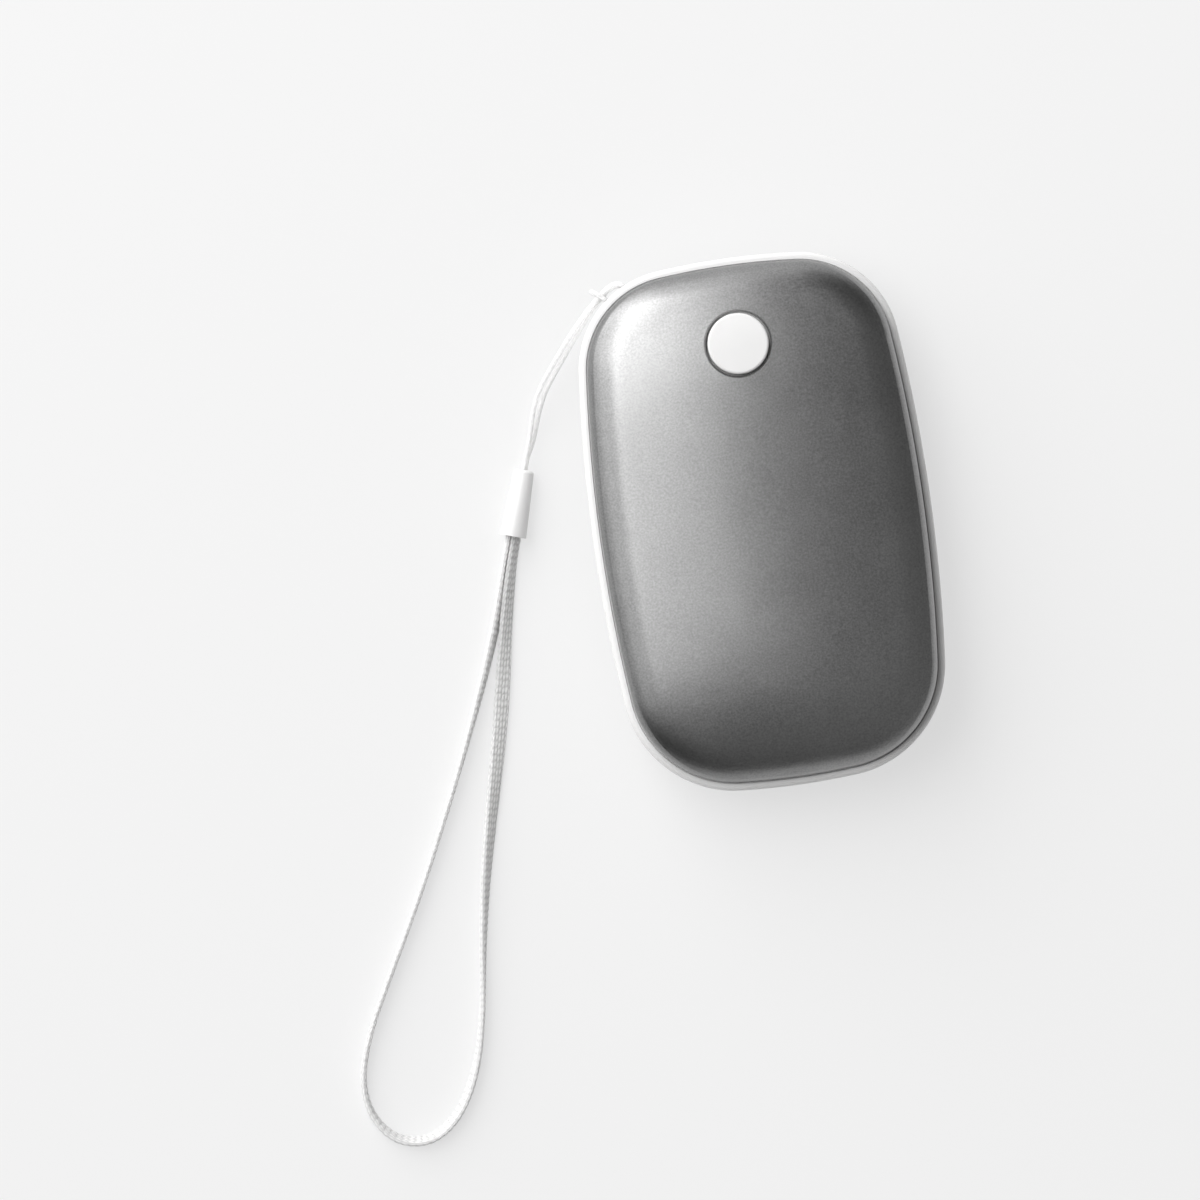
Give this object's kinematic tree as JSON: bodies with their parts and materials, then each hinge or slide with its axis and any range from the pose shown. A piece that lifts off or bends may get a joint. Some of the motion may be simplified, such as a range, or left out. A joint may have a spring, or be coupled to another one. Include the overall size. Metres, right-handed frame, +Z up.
{
  "type": "rechargeable hand warmer",
  "caption": "Pocket hand warmer with crowned metal covers on a white frame, a round push button, charging sockets at one end and a woven wrist strap on a thin cord.",
  "frame": {"origin": "middle of the flat land on the back cover that the warmer lies on", "axes": "+Z up through the front cover, +Y along the body towards the button and the sockets, +X to the right seen from the front"},
  "size_m": [0.1224, 0.1581, 0.026],
  "materials": {
    "cover_metal": "satin anodised with a fine grain",
    "frame_white": "gloss moulded",
    "button_white": "satin moulded, passes light",
    "ferrule_white": "gloss moulded",
    "cord_thin": "braided",
    "strap_weave": "flat woven",
    "black_plastic": "moulded",
    "tray_plastic": "moulded",
    "steel": "plated",
    "nickel": "rolled strip",
    "cell_wrap": "shrink sleeve over a steel can",
    "board_laminate": "solder mask",
    "chip_black": "moulded",
    "ceramic": "fired",
    "led_lens": "clear epoxy",
    "contact_gold": "gold plated",
    "heater_film": "polymer film over an etched track",
    "foam": "closed-cell foam"
  },
  "bodies": {
    "root": {"mid_frame": "frame_white", "front_cover": "cover_metal", "back_cover": "cover_metal", "button_guide": "black_plastic", "switch_base": "black_plastic", "switch_dome": "steel", "switch_plate": "steel", "battery_cell_left": "cell_wrap", "battery_cell_right": "cell_wrap", "plus_tab": "nickel", "minus_tab": "nickel", "battery_tray": "tray_plastic", "tray_screws": "steel", "circuit_board": "board_laminate", "board_screws": "steel", "controller_chip": "chip_black", "power_inductor": "chip_black", "switching_transistors": "chip_black", "board_capacitors": "ceramic", "status_leds": "led_lens", "usb_a_shell": "steel", "usb_a_insert": "black_plastic", "usb_a_contacts": "contact_gold", "usb_c_shell": "steel", "usb_c_insert": "black_plastic", "front_heater": "heater_film", "back_heater": "heater_film", "front_pad": "foam", "back_pad": "foam", "lanyard_cord": "cord_thin", "strap_ferrule": "ferrule_white", "wrist_strap": "strap_weave"},
    "button": {"power_button": "button_white", "switch_plunger": "black_plastic"}
  },
  "joints": [
    {"name": "button_press", "type": "slide", "parent": "root", "child": "button", "axis": [0, 0, -1], "range_m": [0, 0.0003], "stiffness_N_per_m": 2000, "springref_m": -0.0006, "deforming": ["switch_dome"]}
  ]
}
